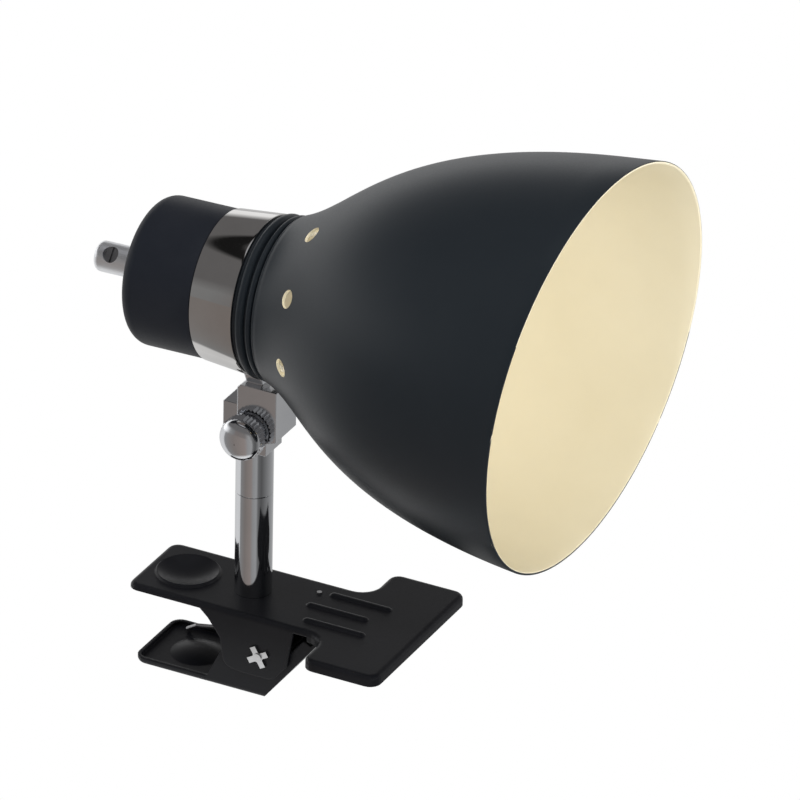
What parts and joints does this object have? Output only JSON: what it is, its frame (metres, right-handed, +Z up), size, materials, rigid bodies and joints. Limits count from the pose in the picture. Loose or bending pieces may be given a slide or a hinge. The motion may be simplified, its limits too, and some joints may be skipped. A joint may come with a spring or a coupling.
{
  "type": "clip-on reading lamp",
  "caption": "Clip-on reading lamp: bell-shaped shade on a tilting yoke and swivelling post, held by a sprung jaw clip with thumb rests.",
  "frame": {"origin": "middle of the grip: centre of the upper pad's lower face", "axes": "+X from the post to the jaws and the shade's mouth, +Y to the lamp's left, +Z up along the post"},
  "size_m": [0.1898, 0.1405, 0.2167],
  "materials": {
    "black_enamel": "semi-gloss black enamel on pressed steel",
    "black_enamel_inner": "semi-gloss black enamel on pressed steel",
    "pad_rubber": "matt black rubber",
    "zinc": "bright zinc plating",
    "spring_steel": "drawn spring wire",
    "post_chrome": "polished chrome plate",
    "knob_chrome": "polished chrome plate, knurled rim",
    "yoke_chrome": "polished chrome plate",
    "band_chrome": "polished chrome plate",
    "gland_chrome": "satin chrome plate",
    "cap_black": "matt black paint",
    "shade_black": "satin black outside, cream enamel inside",
    "resin": "moulded off-white resin",
    "brass": "plain brass"
  },
  "bodies": {
    "clip_top": {"upper_jaw": "black_enamel", "upper_pad": "pad_rubber", "hinge_pin": "zinc", "pin_washers": "zinc", "torsion_spring": "spring_steel", "jaw_rivet": "zinc", "lower_post": "post_chrome", "bolt_washer": "zinc", "disc_spring": "spring_steel"},
    "clip_bottom": {"lower_jaw": "black_enamel_inner", "lower_pad": "pad_rubber", "spring_leg": "spring_steel"},
    "post_head": {"swivel_bolt": "zinc", "upper_post": "post_chrome"},
    "lamp_head": {"joint_nut": "zinc", "joint_washers": "zinc", "yoke": "yoke_chrome", "head_band": "band_chrome", "rear_cap": "cap_black", "cord_gland": "gland_chrome", "gland_screw": "zinc", "gland_nut": "zinc", "lampholder_body": "resin", "screw_shell": "brass", "centre_contact": "brass", "terminal_screws": "brass", "shade_ring": "resin", "neck_ring": "cap_black", "shade": "shade_black"},
    "knob": {"thumb_screw": "knob_chrome"}
  },
  "joints": [
    {"name": "clip_hinge", "type": "hinge", "parent": "clip_top", "child": "clip_bottom", "pos_m": [-0.038, 0, -0.0116], "axis": [0, 1, 0], "range_deg": [0, 26], "stiffness_Nm_per_rad": 1.2, "springref_deg": -20.05},
    {"name": "post_swivel", "type": "hinge", "parent": "clip_top", "child": "post_head", "pos_m": [-0.049, 0, 0.0428], "axis": [0, 0, 1], "range_deg": [-170, 170]},
    {"name": "head_tilt", "type": "hinge", "parent": "post_head", "child": "lamp_head", "pos_m": [-0.0478, 0, 0.0661], "axis": [0, 1, 0], "range_deg": [-80, 30]},
    {"name": "knob_turn", "type": "hinge", "parent": "lamp_head", "child": "knob", "pos_m": [-0.0478, -0.01, 0.0661], "axis": [0, -1, 0], "range_deg": [-180, 180]}
  ]
}
